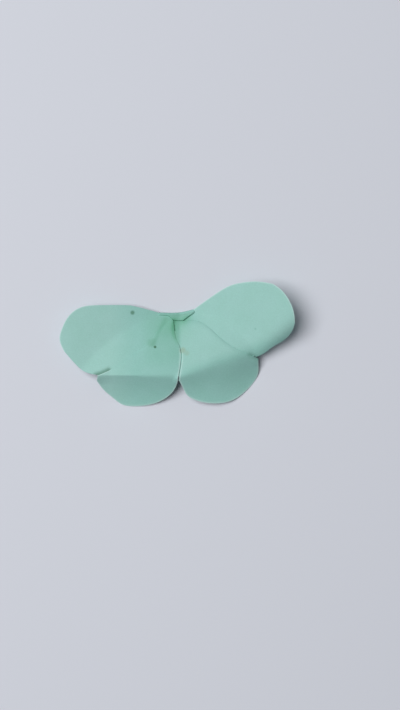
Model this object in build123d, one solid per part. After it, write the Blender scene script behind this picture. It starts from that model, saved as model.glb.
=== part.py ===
from build123d import *
import os
from math import sqrt

# A butterfly folded from one square of craft paper whose open edges were cut round.
# X runs along the wings, +Y to the head, and Z is up from the surface that it lies on.
# Until the last step the zero of X is the seam and the zero of Y is the back of the body.

# The sheet: a wing is two layers pressed together, and the folded-back tip is four
ply = 0.1
pressed_air = 0.05
wall = 2 * ply + pressed_air
tip_wall = 4 * ply + pressed_air

# Reach of the wings in plan
wing_reach = 38.5
wing_rise = 31.0
lobe_reach = 26.5
lobe_drop = 9.8

# The body: a ridge along the back fold, falling to the head, with a valley at the seam
ridge_height = 7.9
ridge_swell = 1.35
ridge_sag = 3.1
body_slope = 0.375
head_distance = 21.5
valley_slope = 0.1
fold_offset = 0.3
right_fold_slope = 0.27

# The left wing lies nearly flat, and the right wing stands up with its lower edge curled down
wing_level = 20.0
left_wing_height = 4.7
left_wing_centre = 25.0
left_wing_tilt = 0.175
left_wing_pitch = 0.05
left_tip_crease = 0.02
left_tip_droop = 0.75
right_wing_height = 8.6
right_wing_centre = 26.0
right_wing_tilt = 0.34
right_wing_pitch = 0.2
curl_width = 5.5
curl_crease = 0.1
curl_drop = 2.6

# The lower wings bend down over the back fold
wrap = 0.6
left_lobe_slope = 1.233
left_lobe_lift = 3.3
right_lobe_slope = 0.99
right_lobe_lift = 3.4
right_turn_fall = 0.13
right_turn_offset = 16.0
right_turn_slope = 0.85

# Gaps between the folded layers
fold_gap = 0.2
left_slit_rise = 0.2
right_slit_rise = 0.16
back_gap = 0.2
back_bow = 0.5
seam_gap = 0.35
fold_bulge = 0.06

# The head, where the tip turns over the edge
edge_inset = 1.2
tab_slope = 0.08

# Reach of the shaping blocks past the sheet in plan, and their depth
overrun = 2.0
depth = 40.0

# Outlines, as shares of the wings' reach and rise and of the lobes' reach and drop
left_wing_shares = [
    [(-0.182, 0.687), (-0.306, 0.729), (-0.408, 0.758)],
    [(-0.408, 0.758), (-0.517, 0.761), (-0.662, 0.758), (-0.831, 0.732), (-0.935, 0.629),
     (-0.982, 0.516), (-1.005, 0.400), (-0.969, 0.274)],
    [(-0.969, 0.274), (-0.875, 0.139), (-0.808, 0.065), (-0.681, 0.021)],
]
right_wing_shares = [
    [(0.662, 0.210), (0.722, 0.242), (0.797, 0.310), (0.891, 0.381), (0.969, 0.497),
     (0.984, 0.571)],
    [(0.984, 0.571), (0.969, 0.687), (0.925, 0.813), (0.868, 0.906), (0.797, 0.971)],
    [(0.797, 0.971), (0.681, 0.997), (0.543, 0.990), (0.442, 0.961), (0.332, 0.887),
     (0.213, 0.787), (0.120, 0.705)],
]
left_edge_shares = [(-0.060, 0.640), (-0.182, 0.468), (-0.312, 0.300), (-0.434, 0.190),
                    (-0.577, 0.071)]
left_slit_shares = [(-0.577, 0.071), (-0.681, 0.013)]
right_edge_shares = [(0.060, 0.600), (0.145, 0.600), (0.247, 0.540), (0.332, 0.445), (0.416, 0.358),
                     (0.610, 0.232)]
right_slit_shares = [(0.610, 0.232), (0.683, 0.194)]
left_lobe_shares = [(-1.004, -0.133), (-0.940, -0.400), (-0.815, -0.715), (-0.700, -0.945),
                    (-0.600, -1.0), (-0.460, -0.990), (-0.310, -0.915), (-0.136, -0.684),
                    (-0.049, -0.439), (0.004, -0.102)]
right_lobe_shares = [(1.0, 0.398), (1.0, 0.133), (0.940, -0.204), (0.826, -0.531), (0.668, -0.806),
                     (0.457, -0.898), (0.235, -0.800), (0.109, -0.602), (0.049, -0.296),
                     (0.011, -0.102)]
seam_shares = [(0.006, -0.02), (0.018, 0.074), (0.026, 0.274), (0.005, 0.371), (-0.022, 0.480)]
back_fold_shares = [-0.658, -0.5, -0.34, -0.17, 0, 0.17, 0.34, 0.5, 0.645]
head_shares = [(-0.160, 0.682), (0.140, 0.716)]
neck_shares = [(0, 0.664)]
tab_shares = [(0.042, 0.600), (-0.020, 0.600), (-0.086, 0.660)]


def places(shares, reach, rise):
    """Plan points from shares of a reach along X and a rise along Y."""
    return [(x * reach, y * rise) for x, y in shares]


def wing_places(shares):
    """Plan points from shares of the wings' reach and rise."""
    return places(shares, wing_reach, wing_rise)


def lobe_places(shares):
    """Plan points from shares of the lower wings' reach and drop."""
    return places(shares, lobe_reach, lobe_drop)


left_slit_x = left_slit_shares[0][0] * wing_reach
right_slit_x = right_slit_shares[0][0] * wing_reach
head_left, head_right = wing_places(head_shares)


def head_line(x):
    """Y of the fold at the head, where the tip turns over the edge."""
    share = (x - head_left[0]) / (head_right[0] - head_left[0])
    return head_left[1] + share * (head_right[1] - head_left[1])


def left_fold(x):
    """Y of the back fold on the left half."""
    return fold_offset


def right_fold(x):
    """Y of the back fold on the right half, where it slants."""
    return fold_offset + right_fold_slope * x


def half_body(x, y, side, fold):
    """One half of the body, falling from the back fold to the head and to the seam."""
    across = side * x / lobe_reach
    along = (y - fold(x)) / head_distance
    ridge = ridge_height + ridge_swell * across - ridge_sag * across * across
    return ridge - body_slope * (y - fold(x)) + valley_slope * side * x * along


def left_body(x, y):
    """Underside of the body left of the seam."""
    return half_body(x, y, -1, left_fold)


def right_body(x, y):
    """Underside of the body right of the seam."""
    return half_body(x, y, 1, right_fold)


def left_wing(x, y):
    """Underside of the left wing, nearly flat."""
    out = -x - left_wing_centre
    return left_wing_height + left_wing_tilt * out + left_wing_pitch * (y - wing_level)


def left_tip(x, y):
    """The outer part of the left wing, drooping a little."""
    out = -x - left_wing_centre
    reach = wing_reach - left_wing_centre
    share = out / reach
    droop = left_tip_crease * out + (left_tip_droop - left_tip_crease * reach) * share ** 3
    return left_wing(x, y) - droop


def right_wing(x, y):
    """Underside of the right wing, standing up."""
    out = x - right_wing_centre
    return right_wing_height + right_wing_tilt * out + right_wing_pitch * (y - wing_level)


def right_curl(x, y):
    """The lower edge of the right wing, curled down."""
    start_x, start_y = wing_places(right_slit_shares)[1]
    end_x, end_y = wing_places(right_wing_shares[0])[4]
    length = sqrt((end_x - start_x) ** 2 + (end_y - start_y) ** 2)
    inside = ((y - start_y) * (end_x - start_x) - (x - start_x) * (end_y - start_y)) / length
    past = curl_width - inside
    share = past / curl_width
    drop = curl_crease * past + (curl_drop - curl_crease * curl_width) * share ** 3
    return right_wing(x, y) - drop


def lobe(x, y, body, fold, slope, lift):
    """A lower wing bent down at the back fold, less steep towards its cut edge."""
    below = fold(x) - wrap - y
    share = below / lobe_drop
    return body(x, fold(x) - wrap) - slope * below + lift * share * share


def left_lobe(x, y):
    """The left lower wing below the back fold."""
    return lobe(x, y, left_body, left_fold, left_lobe_slope, left_lobe_lift)


def right_lobe(x, y):
    """The right lower wing below the back fold."""
    return lobe(x, y, right_body, right_fold, right_lobe_slope, right_lobe_lift)


def right_turned_lobe(x, y):
    """The outer part of the right lower wing, turned down once more."""
    return right_lobe(x, y) - right_turn_fall * (x - right_turn_offset - right_turn_slope * y)


def left_lifted(x, y):
    """The left lower wing where it stands off the upper wing beside the slit."""
    return left_body(x, y) + left_slit_rise * (left_slit_x - x)


def right_lifted(x, y):
    """The right lower wing where it stands off the upper wing beside the slit."""
    return right_body(x, y) + right_slit_rise * (x - right_slit_x)


def bow(y, fold):
    """How far the folded-up tip sags behind the body."""
    along = (y - fold) / head_distance
    return 4 * back_bow * along * (1 - along)


def left_back(x, y):
    """Top of the folded-up tip behind the left half of the body."""
    return left_body(x, y) - bow(y, left_fold(x))


def right_back(x, y):
    """Top of the folded-up tip behind the right half of the body."""
    return right_body(x, y) - bow(y, right_fold(x))


def tab_rise(x, y):
    """How far the tab has risen where it comes over the edge of the head."""
    return (wall + fold_gap) * (head_line(x) - y) / edge_inset


def tab_flat(x, y):
    """How far the left side of the tab lies above the body."""
    return wall + fold_gap


def tab_slant(x, y):
    """How far the right side of the tab stands off the body."""
    return wall + fold_gap + tab_slope * x


def raised(height, extra):
    """A height function raised by another one."""
    return lambda x, y: height(x, y) + extra(x, y)


# A folded surface is the highest of its stretches, and a stretch is the lowest of its heights
wing_stretches = [[left_body], [right_body], [left_wing, left_tip], [right_wing, right_curl]]


def highest(stretches, x, y):
    """Height of a folded surface over a place in plan."""
    return max(min(height(x, y) for height in stretch) for stretch in stretches)


def wings(x, y):
    """Underside of the upper wings and the body between them."""
    return highest(wing_stretches, x, y)


def controls(values):
    """Control values of the cubic that runs through four evenly spaced values."""
    first, second, third, last = values
    near = (18 * second - 5 * first - 9 * third + 2 * last) / 6
    far = (18 * third - 9 * second + 2 * first - 5 * last) / 6
    return [first, near, far, last]


def below(height, lift, box):
    """Everything below one stretch of the surface, raised by a lift."""
    low = (box.min.X - overrun, box.min.Y - overrun)
    size = (box.size.X + 2 * overrun, box.size.Y + 2 * overrun)
    xs = [low[0] + size[0] * i / 3 for i in range(4)]
    ys = [low[1] + size[1] * i / 3 for i in range(4)]
    rows = [controls([height(x, y) + lift for y in ys]) for x in xs]
    columns = [controls([row[j] for row in rows]) for j in range(4)]
    net = [[Vector(xs[i], ys[j], columns[j][i]) for j in range(4)] for i in range(4)]
    return Solid.extrude(Face.make_bezier_surface(net), Vector(0, 0, -2 * depth))


def under(stretches, caps, lift, box):
    """Everything under a folded surface, whose height no cap lets it pass."""
    parts = []
    for stretch in stretches:
        part = below(stretch[0], lift, box)
        for height in stretch[1:]:
            part = part & below(height, lift, box)
        parts.append(part)
    whole = parts[0].fuse(*parts[1:])
    for height in caps:
        whole = whole & below(height, lift, box)
    return whole


def layer(stretches, caps, lift, thickness, plan):
    """A wall of paper with a folded underside, cut to an outline in plan."""
    box = plan.bounding_box()
    column = extrude(Pos(0, 0, -depth / 2) * plan, depth, dir=(0, 0, 1)).solid()
    upper = column & under(stretches, caps, lift + thickness, box)
    return upper - under(stretches, caps, lift, box)


def bead(points, height, radius):
    """The rounded edge where the paper turns back on itself."""
    path = Polyline([Vector(x, y, height(x, y)) for x, y in points])
    return sweep(Plane(origin=path @ 0, z_dir=path % 0) * Circle(radius), path, transition=Transition.RIGHT)


def outline(*stretches):
    """A closed outline from stretches of plan points, each a smooth line between its ends."""
    edges = []
    for points in stretches:
        edges.append(Line(*points) if len(points) == 2 else Spline(points))
    return make_face(Wire(edges))


def back_fold():
    """Plan points of the back fold, from its left end over the seam to its right end."""
    xs = [share * wing_reach for share in back_fold_shares]
    return [(x, max(left_fold(x), right_fold(x))) for x in xs]


def back_corners():
    """The two ends of the back fold, and its middle at the seam."""
    fold = back_fold()
    return fold[0], (0, fold_offset), fold[-1]


def upper_wings():
    """Both upper wings and the body between them."""
    left = [wing_places(stretch) for stretch in left_wing_shares]
    right = [wing_places(stretch) for stretch in right_wing_shares]
    start, middle, end = back_corners()
    head = [right[-1][-1]] + wing_places(neck_shares) + [left[0][0]]
    fold = [[left[-1][-1], start], [start, middle], [middle, end], [end, right[0][0]]]
    face = outline(*left, *fold, *right, head)
    return layer(wing_stretches, [], 0, wall, face)


def lower_wing(stretches, caps, edge_shares, slit_shares, lobe_shares, side):
    """A front flap: folded down at its upper edge, open at the slit, the seam and the lobe."""
    edge = wing_places(edge_shares)
    slit = wing_places(slit_shares)
    seam = [(x + side * seam_gap / 2, y) for x, y in wing_places(seam_shares)]
    lobe = lobe_places(lobe_shares)
    face = outline(edge, slit, [slit[-1], lobe[0]], lobe, [lobe[-1], seam[0]], seam, [seam[-1], edge[0]])
    return layer(stretches, caps, wall + fold_gap, wall, face)


def left_lower_wing():
    """The left front flap."""
    stretches = [[left_body], [left_lifted]]
    return lower_wing(stretches, [left_lobe], left_edge_shares, left_slit_shares, left_lobe_shares, -1)


def right_lower_wing():
    """The right front flap."""
    stretches = [[right_body], [right_lifted]]
    caps = [right_lobe, right_turned_lobe]
    return lower_wing(stretches, caps, right_edge_shares, right_slit_shares, right_lobe_shares, 1)


def turned_edge(edge_shares):
    """The rounded fold along a lower wing's upper edge, which joins it to the upper wing."""
    half = (wall + fold_gap) / 2
    return bead(wing_places(edge_shares), lambda x, y: wings(x, y) + wall + half, half + fold_bulge)


def back_triangle():
    """The tip of the sheet, folded up behind the body as far as the head."""
    start, middle, end = back_corners()
    face = make_face(Polyline(start, middle, end, head_right, head_left, close=True))
    stretches = [[left_back], [right_back], [left_wing], [right_wing]]
    return layer(stretches, [], -back_gap - tip_wall, tip_wall, face)


def head_tab():
    """The end of the tip, folded over the head onto the front."""
    corners = [head_left, head_right] + wing_places(tab_shares)
    stretches = [[raised(height, tab_flat), raised(height, tab_rise)] for height in (left_body, left_wing)]
    for height in (right_body, right_wing):
        stretches.append([raised(height, tab_slant), raised(height, tab_rise)])
    return layer(stretches, [], 0, tip_wall, make_face(Polyline(corners, close=True)))


def folded_sheet():
    """The whole folded sheet as one solid, resting on the surface at its origin."""
    low_half = (wall + back_gap + tip_wall) / 2
    low_fold = bead(back_fold(), lambda x, y: wings(x, y) + wall - low_half, low_half + fold_bulge)
    head_half = tip_wall + back_gap / 2
    middle = (head_left[0] + head_right[0]) / 2
    head_points = [head_left, (middle, head_line(middle)), head_right]
    head_fold = bead(head_points, lambda x, y: wings(x, y) - back_gap / 2, head_half + fold_bulge)
    pieces = [
        left_lower_wing(),
        right_lower_wing(),
        back_triangle(),
        head_tab(),
        low_fold,
        head_fold,
        turned_edge(left_edge_shares),
        turned_edge(right_edge_shares),
    ]
    sheet = upper_wings().fuse(*pieces)
    boxes = [edge.bounding_box() for edge in sheet.edges()]
    centre_x = (min(box.min.X for box in boxes) + max(box.max.X for box in boxes)) / 2
    centre_y = (min(box.min.Y for box in boxes) + max(box.max.Y for box in boxes)) / 2
    return Pos(-centre_x, -centre_y, -min(box.min.Z for box in boxes)) * sheet


os.makedirs("parts", exist_ok=True)
export_step(folded_sheet(), "parts/folded_sheet.step")
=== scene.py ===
import math

import bpy
import numpy as np
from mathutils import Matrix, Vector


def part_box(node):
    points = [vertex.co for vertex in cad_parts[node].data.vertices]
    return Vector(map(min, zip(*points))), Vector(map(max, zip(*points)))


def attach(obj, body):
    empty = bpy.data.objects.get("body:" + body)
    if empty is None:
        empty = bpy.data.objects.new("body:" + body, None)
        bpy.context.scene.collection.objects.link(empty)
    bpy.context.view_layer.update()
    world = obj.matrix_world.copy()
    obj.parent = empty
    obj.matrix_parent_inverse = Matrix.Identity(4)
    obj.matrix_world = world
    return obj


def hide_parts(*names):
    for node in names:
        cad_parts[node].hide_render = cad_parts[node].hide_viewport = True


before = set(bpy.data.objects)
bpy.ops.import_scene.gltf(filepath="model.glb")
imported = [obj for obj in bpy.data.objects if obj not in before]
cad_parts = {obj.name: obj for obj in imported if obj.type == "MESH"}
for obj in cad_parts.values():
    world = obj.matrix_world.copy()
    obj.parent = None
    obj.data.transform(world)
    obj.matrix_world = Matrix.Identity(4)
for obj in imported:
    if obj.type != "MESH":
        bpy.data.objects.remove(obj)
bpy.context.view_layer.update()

MM = 0.001

# Sizes in mm, in the folded sheet's own plan: zero is the seam along X and the back of the body along Y.
# Slopes are heights over distances.

# The wall of a wing, the wall of the folded-back tip, and the gaps between folded walls
WALL, TIP_WALL = 0.25, 0.45
FOLD_GAP, BACK_GAP, BACK_BOW = 0.2, 0.2, 0.5

# Reach of the upper and the lower wings in plan, and the body's length from the back fold to the head
REACH, RISE = 38.5, 31.0
LOBE_REACH, LOBE_DROP = 26.5, 9.8
BODY_LENGTH = 21.5

# The back fold, level on the left and slanted on the right, and where it starts, its span and its steps
FOLD_Y, FOLD_SLANT = 0.3, 0.27
FOLD_START_X, FOLD_SPAN, FOLD_STEPS = -25.33, 50.16, 40

# The body: a ridge along the back fold, falling to the head, with a valley where its halves overlap a little
RIDGE_HEIGHT, RIDGE_SWELL, RIDGE_SAG = 7.9, 1.35, 3.1
BODY_SLOPE, VALLEY_SLOPE = 0.375, 0.1
SEAM_OVERLAP = 0.3

# The lower wings: where they start to bend down, how steeply they fall and how they lift to the cut edge
LEFT_BEND_Y, LEFT_BEND_RISE = 0.35, 0.25
RIGHT_BEND_Y, RIGHT_BEND_SLANT = -0.25, 0.345
LEFT_SLOPE, RIGHT_SLOPE = 1.1461, 0.9567
LEFT_LIFT, RIGHT_LIFT = 3.3, 3.4
TURN_X, TURN_SLANT, TURN_FALL = 16, 0.85, 0.13

# Where they stand off the upper wings beside the slits, and how steeply
LEFT_SLIT_X, LEFT_SLIT_RISE = -22.21, 0.2
RIGHT_SLIT_X, RIGHT_SLIT_RISE = 23.49, 0.16

# The seam between them: how far up it is open, and half of its gap there and above
SEAM_CLOSES_Y, SEAM_OPEN, SEAM_CLOSED = 9, 0.175, 0.03

# The upper wings: the left one nearly flat with a drooping tip, the right one up with its lower edge curled
WING_LEVEL = 20
LEFT_HEIGHT, LEFT_CENTRE, LEFT_TILT, LEFT_PITCH = 4.7, 25, 0.175, 0.05
DROOP_SLOPE, DROOP = 0.02, 0.48
RIGHT_HEIGHT, RIGHT_CENTRE, RIGHT_TILT, RIGHT_PITCH = 8.6, 26, 0.34, 0.2
CURL_WIDTH, CURL_SLOPE, CURL = 5.5, 0.1, 2.05

# How softly two stretches of the paper meet
SEAM_SOFT, WINGS_SOFT, BODY_SOFT = 0.06, 0.1, 0.35
TURN_SOFT, DROOP_SOFT, CURL_SOFT, SLIT_SOFT = 0.35, 0.1, 0.12, 0.08

# How softly the lower wings roll over their bends: the left one more so towards the seam, the right one
# towards its tip. A roll is raised by a share of that, which keeps most of its height.
LEFT_ROLL, LEFT_ROLL_MORE = 0.3, 1.3
RIGHT_ROLL, RIGHT_ROLL_MORE = 0.8, 2.7
ROLL_FILL = 0.3

# The tab at the head: how far in it has risen over the edge, and how its right side stands off
TAB_INSET, TAB_SLANT = 1.2, 0.08

# The rounded folds behind the body and at the head: their middle's drop below the wings, and their radius
BACK_ROLL_DROP, BACK_ROLL_RADIUS = 0.2, 0.47
HEAD_ROLL_DROP, HEAD_ROLL_RADIUS = 0.25, 0.72

# The steps of the outlines and of the net that the paper is cut into, and the two rims along its cut edges
LINE_STEP, GRID = 0.5, 0.45
EDGE_ROUND, RIM = 0.12, 0.25

# How far a cut edge drops over its outer rim, and how wide and how far down to a fold is rounded over
EDGE_DROP = 0.05
FOLD_ROUND, FOLD_LIP = 1.5, 0.25

# A distance that no edge reaches, and the angle in degrees under which faces are shaded as one
FAR = 9
SMOOTH_ANGLE = 35

# Outlines, as shares of the wings' reach and rise and of the lobes' reach and drop
LEFT_WING = [
    [(-0.182, 0.687), (-0.306, 0.729), (-0.408, 0.758)],
    [(-0.408, 0.758), (-0.517, 0.761), (-0.662, 0.758), (-0.831, 0.732), (-0.935, 0.629),
     (-0.982, 0.516), (-1.005, 0.400), (-0.969, 0.274)],
    [(-0.969, 0.274), (-0.875, 0.139), (-0.808, 0.065), (-0.681, 0.021)],
]
RIGHT_WING = [
    [(0.662, 0.210), (0.722, 0.242), (0.797, 0.310), (0.891, 0.381), (0.969, 0.497), (0.984, 0.571)],
    [(0.984, 0.571), (0.969, 0.687), (0.925, 0.813), (0.868, 0.906), (0.797, 0.971)],
    [(0.797, 0.971), (0.681, 0.997), (0.543, 0.990), (0.442, 0.961), (0.332, 0.887), (0.213, 0.787),
     (0.120, 0.705)],
]
LEFT_EDGE = [(-0.045, 0.625), (-0.182, 0.468), (-0.312, 0.300), (-0.434, 0.190), (-0.577, 0.071)]
LEFT_SLIT = [(-0.577, 0.071), (-0.681, 0.013)]
RIGHT_EDGE = [(0.060, 0.600), (0.145, 0.600), (0.247, 0.540), (0.332, 0.445), (0.416, 0.358), (0.610, 0.232)]
RIGHT_SLIT = [(0.610, 0.232), (0.683, 0.194)]
LEFT_LOBE = [(-1.004, -0.133), (-0.940, -0.400), (-0.815, -0.715), (-0.700, -0.945), (-0.600, -1.0),
             (-0.460, -0.990), (-0.310, -0.915), (-0.136, -0.684), (-0.049, -0.439), (0.004, -0.102)]
RIGHT_LOBE = [(1.0, 0.398), (1.0, 0.133), (0.940, -0.204), (0.826, -0.531), (0.668, -0.806),
              (0.457, -0.898), (0.235, -0.800), (0.109, -0.602), (0.049, -0.296), (0.011, -0.102)]
SEAM = [(0.006, -0.02), (0.018, 0.074), (0.026, 0.274), (0.008, 0.342), (-0.016, 0.406), (-0.029, 0.480)]
NECK = (0, 0.655)
HEAD = [(-0.164, 0.662), (0.030, 0.666), (0.140, 0.698)]
TAB = [(0.042, 0.600), (-0.032, 0.600), (-0.086, 0.655)]

# Painted shade along the creases and the slits, and beside the tab at the head: how wide each is, and its
# plan points in mm
VALLEY_CREASE = 0.7, [(-1.3, 18.6), (-1.5, 17.2), (-1.6, 16), (-1.4, 14.2), (-0.9, 12.7), (0, 11)]
SIDE_CREASE = 0.6, [(-4.2, 19), (-6.5, 14.4), (-8.2, 10.5)]
HEAD_CREASE = 0.5, [(-1.2, 18.4), (1.5, 18.4), (3, 20)]
TAB_SIDE_SHADE = 1.2, [(1.6, 18.2), (3.4, 19.8)]
LEFT_SLIT_SHADE = 0.75, [(-27.0, 0.6), (-24.6, 1.4), (-22.6, 2.3)]
RIGHT_SLIT_WIDTH = 0.8

# Blots of painted shade and green interreflection, and where the right half's painted light stops beside the
# head: centre, size in mm, powers
BODY_SHADE_BLOT = (-3.2, 12.5), (7.6, 9), (6, 4)
HEAD_SHADE_BLOT = (-1.6, 17.2), (5, 3.8), (2, 2)
UNLIT_BLOT = (3, 19), (4, 2.5), (2, 2)

# Colours of the paper: two shades of its plain dye, the green of painted shade and interreflection, painted
# dark shade, and the pale colour of painted highlights and light
PLAIN, CLOUDED, SHADE_GREEN, DARK_SHADE, PALE_AND_HIGHLIGHT = "#92C8BC", "#9ECFC8", "#66B38D", "#3F7A63", "#D2EDE9"
CUT_WIDTH = 0.5
CLOUD_SIZE, GRAIN_SIZE, GRAIN_DEPTH = 5, 0.35, 0.03


def ramp(value, start, run):
    """A share that rises evenly from 0 at a start to 1 after a run."""
    return min(max((value - start) / run, 0), 1)


def fade(distance, width):
    """A share that fades from 1 with the distance."""
    return math.exp(-(distance / width) ** 2)


def blot(x, y, centre, size, powers):
    """A share that fades from 1 around a centre, more suddenly with higher powers."""
    across, along = (x - centre[0]) / size[0], (y - centre[1]) / size[1]
    return math.exp(-across ** powers[0] - along ** powers[1])


def wing_places(shares):
    """Plan points from shares of the upper wings' reach and rise."""
    return [(x * REACH, y * RISE) for x, y in shares]


def lobe_places(shares):
    """Plan points from shares of the lower wings' reach and drop."""
    return [(x * LOBE_REACH, y * LOBE_DROP) for x, y in shares]


def smooth_line(points):
    """Even points along a natural cubic spline through some plan points."""
    points = np.array(points, float)
    steps = np.linalg.norm(np.diff(points, axis=0), axis=1)
    at = np.concatenate([[0], np.cumsum(steps)])
    count = max(int(at[-1] / LINE_STEP), 1)
    n = len(points)
    system = np.eye(n)
    right = np.zeros((n, 2))
    for i in range(1, n - 1):
        system[i, i - 1:i + 2] = steps[i - 1], 2 * (steps[i - 1] + steps[i]), steps[i]
        change = (points[i + 1] - points[i]) / steps[i] - (points[i] - points[i - 1]) / steps[i - 1]
        right[i] = 6 * change
    curve = np.linalg.solve(system, right)
    found = []
    for place in np.linspace(0, at[-1], count + 1):
        i = min(max(int(np.searchsorted(at, place, side="right")) - 1, 0), n - 2)
        h = steps[i]
        a, b = (at[i + 1] - place) / h, (place - at[i]) / h
        straight = a * points[i] + b * points[i + 1]
        found.append(tuple(straight + ((a ** 3 - a) * curve[i] + (b ** 3 - b) * curve[i + 1]) * h * h / 6))
    return found


def near(x, y, line):
    """Distance from a plan point to a line of plan points."""
    ends = np.array(line, float)
    a, b = ends[:-1], ends[1:]
    run = b - a
    along = ((np.array([x, y]) - a) * run).sum(1) / np.maximum((run * run).sum(1), 1e-9)
    return float(np.min(np.linalg.norm(a + run * np.clip(along, 0, 1)[:, None] - [x, y], axis=1)))


def higher(a, b, soft):
    """The higher of two heights, with the crease between them softened."""
    return (a + b + math.sqrt((a - b) ** 2 + soft * soft)) / 2


def lower(a, b, soft):
    """The lower of two heights, with the crease between them softened."""
    return (a + b - math.sqrt((a - b) ** 2 + soft * soft)) / 2


def rolled(flat, bent, soft):
    """A flat stretch that rolls over into a bent one."""
    return lower(flat + ROLL_FILL * soft, bent + ROLL_FILL * soft, soft)


def fold_y(x):
    """Y of the back fold."""
    return FOLD_Y + FOLD_SLANT * max(x, 0)


def half_body(x, y, side, slant):
    """One half of the body, falling from the back fold to the head and to the seam."""
    across = side * x / LOBE_REACH
    up = y - FOLD_Y - slant * x
    ridge = RIDGE_HEIGHT + RIDGE_SWELL * across - RIDGE_SAG * across ** 2
    return ridge - BODY_SLOPE * up + VALLEY_SLOPE * side * x * up / BODY_LENGTH


def left_body(x, y):
    """The body left of the seam."""
    return half_body(x, y, -1, 0)


def right_body(x, y):
    """The body right of the seam."""
    return half_body(x, y, 1, FOLD_SLANT)


def left_bend_y(x):
    """Y where the left half starts to bend down."""
    return LEFT_BEND_Y + LEFT_BEND_RISE * ramp(-x, 3, 12)


def right_bend_y(x):
    """Y where the right half starts to bend down."""
    return RIGHT_BEND_SLANT * x + RIGHT_BEND_Y


def bend(x, y, body, start, slope, lift):
    """A lower wing bent down from a start, less steep towards its cut edge."""
    below = start - y
    return body(x, start) - slope * below + lift * (below / LOBE_DROP) ** 2


def left_bent(x, y):
    """The left half of the body with the left lower wing: a crease that softens towards the seam."""
    bent = bend(x, y, left_body, left_bend_y(x), LEFT_SLOPE, LEFT_LIFT)
    return rolled(left_body(x, y), bent, LEFT_ROLL + LEFT_ROLL_MORE * ramp(x, -14, 12))


def right_bent(x, y):
    """The right half of the body with the right lower wing: the paper rolls over without a crease."""
    bent = bend(x, y, right_body, right_bend_y(x), RIGHT_SLOPE, RIGHT_LIFT)
    turned = lower(bent, bent - TURN_FALL * (x - TURN_X - TURN_SLANT * y), TURN_SOFT)
    return rolled(right_body(x, y), turned, RIGHT_ROLL + RIGHT_ROLL_MORE * ramp(x, 0, 14))


def left_wing(x, y):
    """The left wing: nearly flat, its tip drooping a little."""
    out = -x - LEFT_CENTRE
    flat = LEFT_HEIGHT + LEFT_TILT * out + LEFT_PITCH * (y - WING_LEVEL)
    return lower(flat, flat - DROOP_SLOPE * out - DROOP * (out / (REACH - LEFT_CENTRE)) ** 3, DROOP_SOFT)


def right_wing(x, y):
    """The right wing: standing up, its lower edge curled down."""
    start, end = wing_places(RIGHT_SLIT)[1], wing_places(RIGHT_WING[0])[4]
    run = (end[0] - start[0], end[1] - start[1])
    inside = ((y - start[1]) * run[0] - (x - start[0]) * run[1]) / math.dist(start, end)
    past = CURL_WIDTH - inside
    flat = RIGHT_HEIGHT + RIGHT_TILT * (x - RIGHT_CENTRE) + RIGHT_PITCH * (y - WING_LEVEL)
    return lower(flat, flat - CURL_SLOPE * past - CURL * (past / CURL_WIDTH) ** 3, CURL_SOFT)


def wings(x, y):
    """Underside of the upper wings and the body between them."""
    left = left_bent(x, y) - max(x - SEAM_OVERLAP, 0)
    right = right_bent(x, y) - max(-x - SEAM_OVERLAP, 0)
    outer = higher(left_wing(x, y), right_wing(x, y), WINGS_SOFT)
    return higher(higher(left, right, SEAM_SOFT), outer, BODY_SOFT)


def wings_top(x, y):
    """Top of the upper wings and the body between them."""
    return wings(x, y) + WALL


def flap(x, y, bent, standing, low):
    """Top of a lower wing: it lies on the upper wing, and follows its own bend where it is low."""
    upper = higher(wings(x, y), bent + standing, SLIT_SOFT)
    return upper + (bent - upper) * low + 2 * WALL + FOLD_GAP


def left_flap(x, y):
    """Top of the left lower wing, standing off the upper wing beside the slit."""
    low = ramp(left_bend_y(x) - y, 1, 2)
    return flap(x, y, left_bent(x, y), LEFT_SLIT_RISE * (LEFT_SLIT_X - x), low)


def right_flap(x, y):
    """Top of the right lower wing, standing off the upper wing beside the slit."""
    low = ramp(fold_y(x) - y, 2, 2)
    return flap(x, y, right_bent(x, y), RIGHT_SLIT_RISE * (x - RIGHT_SLIT_X), low)


def back_top(x, y):
    """Top of the tip of the sheet, folded up behind the body."""
    along = ramp(y, fold_y(x), BODY_LENGTH)
    return wings(x, y) - BACK_GAP - 4 * BACK_BOW * along * (1 - along)


def head_y(x):
    """Y of the fold at the head."""
    return float(np.interp(x, *zip(*wing_places(HEAD))))


def tab_top(x, y):
    """Top of the tip where it lies on the front of the head, its right side standing off."""
    over = ramp(head_y(x) - y, 0, TAB_INSET)
    rise = WALL + FOLD_GAP + TAB_SLANT * max(x, 0)
    return wings(x, y) + TIP_WALL + rise * math.sqrt(over * (2 - over))


def along_line(x, y, width, line):
    """A share that fades from 1 with the distance from a line of plan points."""
    return fade(near(x, y, line), width)


def painted_shade(x, y):
    """How much painted shade and green interreflection there is at a plan point, and how much painted shade
    darkens a crease there, each with its own strength.
    """
    body = blot(x, y, *BODY_SHADE_BLOT) * (1 - 0.5 * ramp(x, 0, 1))
    head = blot(x, y, *HEAD_SHADE_BLOT)
    valley = along_line(x, y, *VALLEY_CREASE) * ramp(y, 9, 4)
    side = along_line(x, y, *SIDE_CREASE)
    crease = along_line(x, y, *HEAD_CREASE)
    extra_shade = along_line(x, y, *TAB_SIDE_SHADE)
    shaded_green = 0.17 * body + 0.35 * head + 0.4 * valley + 0.15 * side + 0.3 * extra_shade
    return min(shaded_green, 1), min(0.2 * valley * ramp(y, 12, 4) + 0.1 * side + 0.12 * crease, 1)


def paleness_and_painted_light(x, y):
    """How much paler the paper is: painted light over the right half above its bend, and paler on the left
    wing.
    """
    unlit = blot(x, y, *UNLIT_BLOT)
    right = 0.13 * ramp(x, 0, 1.5) * ramp(y - right_bend_y(x), 0.5, 3) * (1 - unlit)
    return right + 0.16 * ramp(-x, 14, 8)


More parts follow.
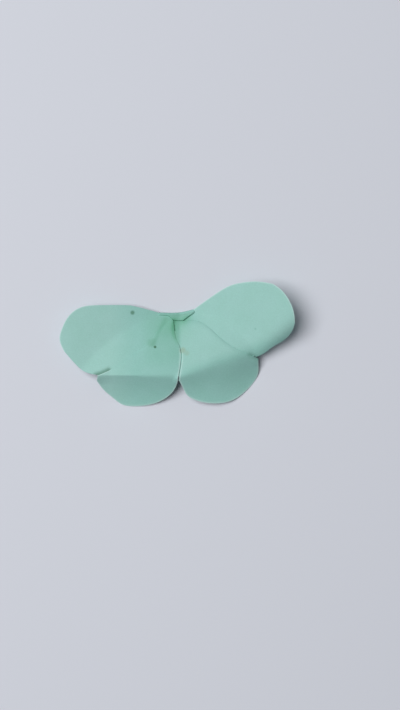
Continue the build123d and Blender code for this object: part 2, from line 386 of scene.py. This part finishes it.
def edge_highlight(x, y, slit):
    """How strong the painted highlight on a cut edge is: less at the closed seam, the left wing's upper edge
    and the right slit.
    """
    pale = ramp(slit, 0.3, 1.2)
    if abs(x) < 3:
        pale *= 1 - 0.9 * ramp(y, 7.5, 2.5)
    if x <= -15 and y > 20:
        pale *= ramp(-x, 24, 4)
    return pale


def painted_light_and_shade(x, y, rim, extra_shade):
    """How pale the paper is (painted highlights and light, and the paler left wing), and how green and how
    dark with painted shade, at a plan point some way in from its cut edge.
    """
    slit = near(x, y, wing_places(RIGHT_SLIT))
    # Painted highlight along the cut edge
    edge = 0.65 * max(1 - rim / CUT_WIDTH, 0) * edge_highlight(x, y, slit)
    shaded_green, dark = painted_shade(x, y)
    # Painted shade at the right slit
    dark += 0.35 * fade(slit, RIGHT_SLIT_WIDTH) + extra_shade[1]
    return max(edge, paleness_and_painted_light(x, y)), shaded_green + extra_shade[0], min(dark, 1), 1


def no_extra_shade(x, y):
    """No extra painted shade."""
    return 0, 0


def slit_shade(x, y):
    """Painted shade inside the slit at the left wing."""
    return 0, 0.95 * along_line(x, y, *LEFT_SLIT_SHADE)


def tab_shade(x, y):
    """Painted shade on the tab: greener and darker."""
    return 0.1, 0.08


def linear(colour):
    """An sRGB hex colour as linear RGBA."""
    parts = [int(colour[i:i + 2], 16) / 255 for i in (1, 3, 5)]
    return [p / 12.92 if p <= 0.04045 else ((p + 0.055) / 1.055) ** 2.4 for p in parts] + [1.0]


def add_node(tree, kind, settings=None, **links):
    """Adds a node with its settings; each link fills the input of that name, or of that number after a _."""
    node = tree.nodes.new(kind)
    for name, value in (settings or {}).items():
        setattr(node, name, value)
    for name, value in links.items():
        socket = node.inputs[int(name[1:])] if name[1:].isdigit() else node.inputs[name.replace("_", " ")]
        if isinstance(value, bpy.types.NodeSocket):
            tree.links.new(value, socket)
        else:
            socket.default_value = value
    return node


def empty_material(name):
    """A material with an empty node tree."""
    material = bpy.data.materials.new(name)
    material.use_nodes = True
    material.node_tree.nodes.clear()
    return material, material.node_tree


def dyed_craft_paper_painted_light(marks):
    """Uncoated craft paper dyed in the pulp: matt, a little cloudy, with a fine fibre grain.
    Painted highlights on its lit cut edges, painted light on the right half and a paler left wing; painted
    shade and green interreflection deepen the colour at the body and head and darken creases and slits."""
    material, tree = empty_material("dyed_craft_paper_painted_light")
    colours = {"data_type": "RGBA"}
    place = add_node(tree, "ShaderNodeTexCoord").outputs["Object"]
    tone = add_node(tree, "ShaderNodeAttribute", {"attribute_name": "painted_light_and_shade"}).outputs["Color"]
    tone = add_node(tree, "ShaderNodeSeparateColor", Color=tone)
    # Cloudiness of the pulp, which keeps the wide flat wings from looking printed
    cloud = add_node(tree, "ShaderNodeTexNoise", Vector=place, Scale=1 / (CLOUD_SIZE * MM), Detail=3.0,
                     Roughness=0.55)
    # Fibre grain, drawn coarser than it is so that it shows
    grain = add_node(tree, "ShaderNodeTexNoise", Vector=place, Scale=1 / (GRAIN_SIZE * MM), Detail=2.0,
                     Roughness=0.6)
    base = add_node(tree, "ShaderNodeMix", colours, _0=cloud.outputs["Fac"], _6=linear(PLAIN),
                    _7=linear(CLOUDED))
    # Painted shade and green interreflection, then painted dark shade, then painted highlights and light
    shaded_green = add_node(tree, "ShaderNodeMix", colours, _0=tone.outputs[1], _6=base.outputs[2], _7=linear(SHADE_GREEN))
    dark = add_node(tree, "ShaderNodeMix", colours, _0=tone.outputs[2], _6=shaded_green.outputs[2], _7=linear(DARK_SHADE))
    edge = add_node(tree, "ShaderNodeMix", colours, _0=tone.outputs[0], _6=dark.outputs[2], _7=linear(PALE_AND_HIGHLIGHT))
    marked = edge.outputs[2]
    # Small soft-edged marks: dots and a smudge, which show that the paper has been handled, and one wide soft
    # darker patch
    for centre, radius, colour, strength in marks:
        away = add_node(tree, "ShaderNodeVectorMath", {"operation": "DISTANCE"}, _0=place, _1=centre)
        mark = add_node(tree, "ShaderNodeMapRange", {"interpolation_type": "SMOOTHSTEP"},
                        Value=away.outputs["Value"], From_Min=radius * 0.3, From_Max=radius,
                        To_Min=strength, To_Max=0.0)
        marked = add_node(tree, "ShaderNodeMix", colours, _0=mark.outputs["Result"], _6=marked,
                          _7=linear(colour)).outputs[2]
    # The fibres are lighter and darker than the dye around them, and slightly raised
    fleck = add_node(tree, "ShaderNodeMapRange", Value=grain.outputs["Fac"], From_Min=0.3, From_Max=0.7,
                     To_Min=0.95, To_Max=1.04)
    dyed = add_node(tree, "ShaderNodeHueSaturation", Color=marked, Value=fleck.outputs["Result"])
    bump = add_node(tree, "ShaderNodeBump", Strength=0.25, Distance=GRAIN_DEPTH * MM,
                    Height=grain.outputs["Fac"])
    paper = add_node(tree, "ShaderNodeBsdfPrincipled", Base_Color=dyed.outputs["Color"], Roughness=0.85,
                     Specular_IOR_Level=0.25, Normal=bump.outputs["Normal"])
    add_node(tree, "ShaderNodeOutputMaterial", Surface=paper.outputs["BSDF"])
    return material


def pale_card():
    """Matt pale card under the butterfly, so plain that only the soft shadow on it is seen."""
    material, tree = empty_material("pale_card")
    card = add_node(tree, "ShaderNodeBsdfPrincipled", Base_Color=linear("#DBDEE7"), Roughness=0.9,
                    Specular_IOR_Level=0.1)
    add_node(tree, "ShaderNodeOutputMaterial", Surface=card.outputs["BSDF"])
    return material


def flat_net(name, lines, rims):
    """An outline in plan, filled and cut into a fine net, with rims of these widths along it."""
    loop = [p for line in lines for p in line[:-1]]
    bpy.ops.object.select_all(action="DESELECT")
    bpy.ops.mesh.primitive_circle_add(vertices=len(loop), radius=1, fill_type="NGON")
    piece = bpy.context.view_layer.objects.active
    piece.name = name
    area = sum(a[0] * b[1] - b[0] * a[1] for a, b in zip(loop, loop[1:] + loop[:1]))
    order = loop if area > 0 else loop[::-1]
    # The circle's face runs counter-clockwise, so its vertices take the outline's points in that order
    for vertex, (x, y) in zip(list(piece.data.polygons[0].vertices), order):
        piece.data.vertices[vertex].co = (x * MM, y * MM, 0)
    bpy.ops.object.mode_set(mode="EDIT")
    bpy.ops.mesh.select_all(action="SELECT")
    for width in rims:
        bpy.ops.mesh.inset(thickness=width * MM, use_boundary=True)
    for axis in (0, 1):
        low, high = min(p[axis] for p in loop), max(p[axis] for p in loop)
        for i in range(1, int((high - low) / GRID) + 1):
            spot, way = [0, 0, 0], [0, 0, 0]
            spot[axis], way[axis] = (low + GRID * i) * MM, 1
            bpy.ops.mesh.select_all(action="SELECT")
            bpy.ops.mesh.bisect(plane_co=spot, plane_no=way)
    bpy.ops.object.mode_set(mode="OBJECT")
    return piece


def set_tones(piece, tones):
    """Keeps the tones of painted light and shade in the attribute that the paper's material reads."""
    layer = piece.data.color_attributes.new("painted_light_and_shade", "FLOAT_COLOR", "POINT")
    layer.data.foreach_set("color", [value for tone in tones for value in tone])


def paper_sheet(name, stretches, cut, top, thickness, extra_shade=no_extra_shade, under=None):
    """A layer of paper: a net shaped by its height, with its tones of painted light and shade and its wall.
    Where a height under it is given, its first stretch is a fold, rounded over towards that height."""
    lines = [smooth_line(points) for points in stretches]
    piece = flat_net(name, lines, (EDGE_ROUND, RIM) if cut else ())
    tones = []
    for vertex in piece.data.vertices:
        x, y = vertex.co.x / MM, vertex.co.y / MM
        height = top(x, y)
        inside = near(x, y, lines[0]) / FOLD_ROUND if under else 1
        if inside < 1:
            low = under(x, y)
            height = low + (height - low) * max(math.sqrt(inside * (2 - inside)), FOLD_LIP)
        rim = min((near(x, y, lines[i]) for i in cut), default=FAR)
        vertex.co.z = (height - EDGE_DROP * max(1 - rim / EDGE_ROUND, 0)) * MM
        tones.append(painted_light_and_shade(x, y, rim, extra_shade(x, y)))
    set_tones(piece, tones)
    wall = piece.modifiers.new("wall", "SOLIDIFY")
    wall.thickness = thickness * MM
    wall.offset = -1
    bpy.ops.object.modifier_apply(modifier="wall")
    return piece


def rolled_edge(name, line, drop, radius):
    """The rounded edge where the sheet turns back on itself, its middle a drop below the wings."""
    data = bpy.data.curves.new(name, "CURVE")
    data.dimensions = "3D"
    data.bevel_depth = radius * MM
    data.bevel_resolution = 3
    data.use_fill_caps = True
    path = data.splines.new("POLY")
    path.points.add(len(line) - 1)
    for point, (x, y) in zip(path.points, line):
        point.co = (x * MM, y * MM, (wings(x, y) - drop) * MM, 1)
    piece = bpy.data.objects.new(name, data)
    bpy.context.scene.collection.objects.link(piece)
    bpy.ops.object.select_all(action="DESELECT")
    piece.select_set(True)
    bpy.context.view_layer.objects.active = piece
    bpy.ops.object.convert(target="MESH")
    piece = bpy.context.view_layer.objects.active
    # The body's painted shade and green interreflection, carried onto the rounded fold
    set_tones(piece, [(0, *painted_shade(v.co.x / MM, v.co.y / MM), 1) for v in piece.data.vertices])
    return piece


def lower_wing(name, side, edge, slit, lobe, top):
    """A lower wing: folded at its upper edge, and open at the slit, the lobe and the seam."""
    edge, slit, lobe = wing_places(edge), wing_places(slit), lobe_places(lobe)
    seam = [(x + side * (SEAM_OPEN if y < SEAM_CLOSES_Y else SEAM_CLOSED), y) for x, y in wing_places(SEAM)]
    outline = [edge, slit, [slit[-1], lobe[0]], lobe, [lobe[-1], seam[0]], seam, [seam[-1], edge[0]]]
    return paper_sheet(name, outline, range(1, 6), top, WALL, under=wings_top)


def layers():
    """The upper wings, the lower wings, the tip behind, its tab in front, and the tip's rounded folds."""
    left, right = [wing_places(line) for line in LEFT_WING], [wing_places(line) for line in RIGHT_WING]
    head, tab = wing_places(HEAD), wing_places(TAB)
    fold_xs = [FOLD_START_X + FOLD_SPAN * i / FOLD_STEPS for i in range(FOLD_STEPS + 1)]
    back_fold = [(x, fold_y(x)) for x in fold_xs]
    start, middle, end = back_fold[0], (0, FOLD_Y), back_fold[-1]
    fold = [[left[-1][-1], start], [start, middle], [middle, end], [end, right[0][0]]]
    upper = [*left, *fold, *right, [right[-1][-1], *wing_places([NECK]), left[0][0]]]
    # The left wing's outer stretch, and the right wing's outer and upper ones
    upper_cut = (1, 8, 9)
    behind = [[start, middle], [middle, end], [end, head[-1]], head[::-1], [head[0], start]]
    in_front = [head, [head[-1], tab[0]], tab[:2], tab[1:], [tab[-1], head[0]]]
    return [
        paper_sheet("wings", upper, upper_cut, wings_top, WALL, slit_shade),
        lower_wing("left_lower_wing", -1, LEFT_EDGE, LEFT_SLIT, LEFT_LOBE, left_flap),
        lower_wing("right_lower_wing", 1, RIGHT_EDGE, RIGHT_SLIT, RIGHT_LOBE, right_flap),
        paper_sheet("back_tip", behind, (), back_top, TIP_WALL),
        paper_sheet("head_tab", in_front, (), tab_top, TIP_WALL, tab_shade),
        rolled_edge("back_fold", back_fold, BACK_ROLL_DROP, BACK_ROLL_RADIUS),
        rolled_edge("head_fold", smooth_line(head), HEAD_ROLL_DROP, HEAD_ROLL_RADIUS),
    ]


def small_marks(shift):
    """The small marks on the paper: centre and radius in metres, colour and strength."""
    # Plan point in mm, the surface that the mark is on, and its radius, colour and strength
    spots = (
        (-15.0, 21.1, wings_top, 1.0, "#46775A", 0.7),
        (-7.5, 9.8, left_flap, 0.65, "#3E6B4C", 0.9),
        # A wide soft darker patch around the dot before it
        (-8.6, 11.2, left_flap, 2.2, "#6FA98C", 0.35),
        (1.5, 8.7, right_flap, 1.5, "#9B9F77", 0.35),
        (2.9, 7.8, right_flap, 1.3, "#9B9F77", 0.2),
        (25.2, 15.7, wings_top, 0.5, "#7DB5A8", 0.5),
    )
    marks = []
    for x, y, top, radius, colour, strength in spots:
        centre = [value * MM + move for value, move in zip((x, y, top(x, y)), shift)]
        marks.append((centre, radius * MM, colour, strength))
    return marks


def butterfly():
    """The folded sheet as one piece, set down over the CAD node, with its material and its small marks."""
    pieces = layers()
    bpy.ops.object.select_all(action="DESELECT")
    for piece in pieces:
        piece.select_set(True)
    bpy.context.view_layer.objects.active = pieces[0]
    bpy.ops.object.join()
    piece = bpy.context.view_layer.objects.active
    piece.name = "paper_butterfly"
    low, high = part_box("folded_sheet")
    points = np.array([v.co for v in piece.data.vertices])
    shift = [(low[i] + high[i]) / 2 - (points[:, i].min() + points[:, i].max()) / 2 for i in (0, 1)]
    shift.append(-points[:, 2].min())
    for vertex in piece.data.vertices:
        vertex.co = [vertex.co[i] + shift[i] for i in range(3)]
    bpy.ops.object.shade_smooth_by_angle(angle=math.radians(SMOOTH_ANGLE))
    piece.data.materials.clear()
    piece.data.materials.append(dyed_craft_paper_painted_light(small_marks(shift)))
    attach(piece, "root")
    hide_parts("folded_sheet")


def floor():
    """A wide round card that carries the butterfly and its shadow."""
    bpy.ops.object.select_all(action="DESELECT")
    bpy.ops.mesh.primitive_circle_add(vertices=128, radius=350 * MM, fill_type="NGON")
    card = bpy.context.view_layer.objects.active
    card.name = "floor"
    card.data.materials.append(pale_card())


def studio():
    """One large soft lamp from the upper left and a pale room, which is seen paler than it lights."""
    world = bpy.data.worlds.new("studio")
    bpy.context.scene.world = world
    world.use_nodes = True
    tree = world.node_tree
    tree.nodes.clear()
    adding = {"operation": "ADD"}
    rays = add_node(tree, "ShaderNodeLightPath").outputs
    seen = add_node(tree, "ShaderNodeMath", adding, _0=rays["Is Camera Ray"], _1=rays["Is Glossy Ray"])
    seen = add_node(tree, "ShaderNodeMath", adding, _0=seen.outputs[0], _1=rays["Is Transmission Ray"])
    glow = add_node(tree, "ShaderNodeMapRange", Value=seen.outputs[0], To_Min=0.13, To_Max=0.62)
    sky = add_node(tree, "ShaderNodeBackground", Color=linear("#F4F6FA"), Strength=glow.outputs["Result"])
    add_node(tree, "ShaderNodeOutputWorld", Surface=sky.outputs["Background"])
    lamp = bpy.data.lights.new("window", "AREA")
    lamp.shape = "RECTANGLE"
    lamp.size = 0.85
    lamp.size_y = 0.85
    lamp.energy = 17.1
    holder = bpy.data.objects.new("window", lamp)
    bpy.context.scene.collection.objects.link(holder)
    holder.location = (-0.54, 0.195, 1.275)
    holder.rotation_euler = holder.location.to_track_quat("Z", "Y").to_euler()


def camera():
    """Straight down on the butterfly, framed as the photograph is."""
    lens = bpy.data.cameras.new("camera")
    holder = bpy.data.objects.new("camera", lens)
    bpy.context.scene.collection.objects.link(holder)
    distance, middle, width = 450 * MM, 6 * MM, 130.8 * MM
    holder.location = (7.6 * MM, -3.4 * MM, distance)
    holder.rotation_euler = (0, 0, 0)
    lens.sensor_fit = "HORIZONTAL"
    lens.sensor_width = 36
    lens.lens = lens.sensor_width * (distance - middle) / width
    lens.clip_start = 0.01
    bpy.context.scene.camera = holder


butterfly()
floor()
studio()
camera()
bpy.context.scene.view_settings.view_transform = "Standard"
